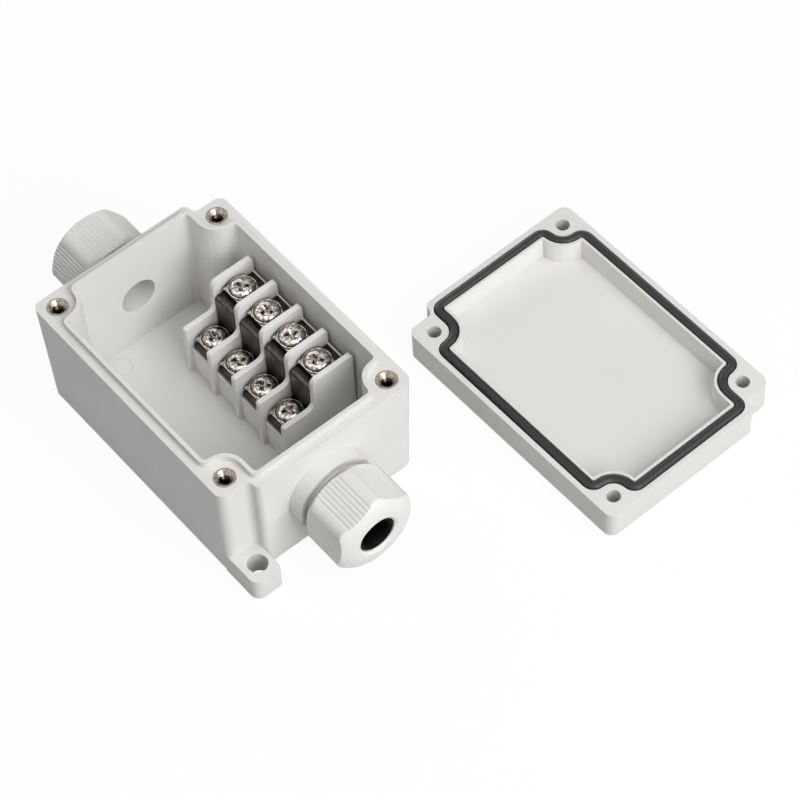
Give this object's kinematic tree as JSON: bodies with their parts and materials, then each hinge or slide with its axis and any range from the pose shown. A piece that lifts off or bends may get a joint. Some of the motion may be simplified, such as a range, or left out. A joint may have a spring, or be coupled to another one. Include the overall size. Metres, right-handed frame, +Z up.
{
  "type": "outdoor junction box",
  "caption": "Rectangular weatherproof junction box, lid off and beside it, with a cable gland at each end and a two-tier barrier terminal block inside.",
  "frame": {"origin": "centre of the underside of the box, on the plane that it rests on", "axes": "+X along the gland axis towards the near gland, +Z up out of the open mouth of the box"},
  "size_m": [0.1766, 0.1616, 0.0451],
  "materials": {
    "shell_plastic": "satin, off-white moulding",
    "block_plastic": "satin, off-white moulding",
    "seal_rubber": "matt black",
    "insert_metal": "bright nickel plate",
    "plated_metal": "bright nickel plate"
  },
  "bodies": {
    "root": {"base_housing": "shell_plastic", "lid": "shell_plastic", "lid_gasket": "seal_rubber", "insert_1": "insert_metal", "insert_2": "insert_metal", "insert_3": "insert_metal", "insert_4": "insert_metal", "terminal_block": "block_plastic", "strip_1": "plated_metal", "strip_2": "plated_metal", "strip_3": "plated_metal", "strip_4": "plated_metal"},
    "low_washer_1_body": {"low_washer_1": "plated_metal"},
    "low_screw_1_body": {"low_screw_1": "plated_metal"},
    "low_washer_2_body": {"low_washer_2": "plated_metal"},
    "low_screw_2_body": {"low_screw_2": "plated_metal"},
    "low_washer_3_body": {"low_washer_3": "plated_metal"},
    "low_screw_3_body": {"low_screw_3": "plated_metal"},
    "low_washer_4_body": {"low_washer_4": "plated_metal"},
    "low_screw_4_body": {"low_screw_4": "plated_metal"},
    "high_washer_1_body": {"high_washer_1": "plated_metal"},
    "high_screw_1_body": {"high_screw_1": "plated_metal"},
    "high_washer_2_body": {"high_washer_2": "plated_metal"},
    "high_screw_2_body": {"high_screw_2": "plated_metal"},
    "high_washer_3_body": {"high_washer_3": "plated_metal"},
    "high_screw_3_body": {"high_screw_3": "plated_metal"},
    "high_washer_4_body": {"high_washer_4": "plated_metal"},
    "high_screw_4_body": {"high_screw_4": "plated_metal"},
    "near_seal_body": {"near_seal": "seal_rubber"},
    "near_nut_body": {"near_dome_nut": "shell_plastic"},
    "far_seal_body": {"far_seal": "seal_rubber"},
    "far_nut_body": {"far_dome_nut": "shell_plastic"}
  },
  "joints": [
    {"name": "low_screw_1_lift", "type": "slide", "parent": "root", "child": "low_washer_1_body", "axis": [0, 0, 1], "range_m": [0, 0.0028]},
    {"name": "low_screw_1_turn", "type": "hinge", "parent": "low_washer_1_body", "child": "low_screw_1_body", "pos_m": [-0.01705, 0.00893, 0.0165], "axis": [0, 0, 1], "range_deg": [0, 1441]},
    {"name": "low_screw_2_lift", "type": "slide", "parent": "root", "child": "low_washer_2_body", "axis": [0, 0, 1], "range_m": [0, 0.0028]},
    {"name": "low_screw_2_turn", "type": "hinge", "parent": "low_washer_2_body", "child": "low_screw_2_body", "pos_m": [-0.00515, 0.00893, 0.0165], "axis": [0, 0, 1], "range_deg": [0, 1441]},
    {"name": "low_screw_3_lift", "type": "slide", "parent": "root", "child": "low_washer_3_body", "axis": [0, 0, 1], "range_m": [0, 0.0028]},
    {"name": "low_screw_3_turn", "type": "hinge", "parent": "low_washer_3_body", "child": "low_screw_3_body", "pos_m": [0.00675, 0.00893, 0.0165], "axis": [0, 0, 1], "range_deg": [0, 1441]},
    {"name": "low_screw_4_lift", "type": "slide", "parent": "root", "child": "low_washer_4_body", "axis": [0, 0, 1], "range_m": [0, 0.0028]},
    {"name": "low_screw_4_turn", "type": "hinge", "parent": "low_washer_4_body", "child": "low_screw_4_body", "pos_m": [0.01865, 0.00893, 0.0165], "axis": [0, 0, 1], "range_deg": [0, 1441]},
    {"name": "high_screw_1_lift", "type": "slide", "parent": "root", "child": "high_washer_1_body", "axis": [0, 0, 1], "range_m": [0, 0.0028]},
    {"name": "high_screw_1_turn", "type": "hinge", "parent": "high_washer_1_body", "child": "high_screw_1_body", "pos_m": [-0.01705, 0.02083, 0.0314], "axis": [0, 0, 1], "range_deg": [0, 1441]},
    {"name": "high_screw_2_lift", "type": "slide", "parent": "root", "child": "high_washer_2_body", "axis": [0, 0, 1], "range_m": [0, 0.0028]},
    {"name": "high_screw_2_turn", "type": "hinge", "parent": "high_washer_2_body", "child": "high_screw_2_body", "pos_m": [-0.00515, 0.02083, 0.0314], "axis": [0, 0, 1], "range_deg": [0, 1441]},
    {"name": "high_screw_3_lift", "type": "slide", "parent": "root", "child": "high_washer_3_body", "axis": [0, 0, 1], "range_m": [0, 0.0028]},
    {"name": "high_screw_3_turn", "type": "hinge", "parent": "high_washer_3_body", "child": "high_screw_3_body", "pos_m": [0.00675, 0.02083, 0.0314], "axis": [0, 0, 1], "range_deg": [0, 1441]},
    {"name": "high_screw_4_lift", "type": "slide", "parent": "root", "child": "high_washer_4_body", "axis": [0, 0, 1], "range_m": [0, 0.0028]},
    {"name": "high_screw_4_turn", "type": "hinge", "parent": "high_washer_4_body", "child": "high_screw_4_body", "pos_m": [0.01865, 0.02083, 0.0314], "axis": [0, 0, 1], "range_deg": [0, 1441]},
    {"name": "near_nut_travel", "type": "slide", "parent": "root", "child": "near_seal_body", "axis": [1, 0, 0], "range_m": [0, 0.0045]},
    {"name": "near_nut_turn", "type": "hinge", "parent": "near_seal_body", "child": "near_nut_body", "pos_m": [0.06, 0, 0.0226], "axis": [1, 0, 0], "range_deg": [0, 1081]},
    {"name": "far_nut_travel", "type": "slide", "parent": "root", "child": "far_seal_body", "axis": [-1, 0, 0], "range_m": [0, 0.0045]},
    {"name": "far_nut_turn", "type": "hinge", "parent": "far_seal_body", "child": "far_nut_body", "pos_m": [-0.06, 0, 0.0226], "axis": [-1, 0, 0], "range_deg": [0, 1081]}
  ],
  "couplings": [
    {"joint": "low_screw_1_turn", "follows": "low_screw_1_lift", "rad_per_m": 8976},
    {"joint": "low_screw_2_turn", "follows": "low_screw_2_lift", "rad_per_m": 8976},
    {"joint": "low_screw_3_turn", "follows": "low_screw_3_lift", "rad_per_m": 8976},
    {"joint": "low_screw_4_turn", "follows": "low_screw_4_lift", "rad_per_m": 8976},
    {"joint": "high_screw_1_turn", "follows": "high_screw_1_lift", "rad_per_m": 8976},
    {"joint": "high_screw_2_turn", "follows": "high_screw_2_lift", "rad_per_m": 8976},
    {"joint": "high_screw_3_turn", "follows": "high_screw_3_lift", "rad_per_m": 8976},
    {"joint": "high_screw_4_turn", "follows": "high_screw_4_lift", "rad_per_m": 8976},
    {"joint": "near_nut_turn", "follows": "near_nut_travel", "rad_per_m": 4188.8},
    {"joint": "far_nut_turn", "follows": "far_nut_travel", "rad_per_m": 4188.8}
  ]
}
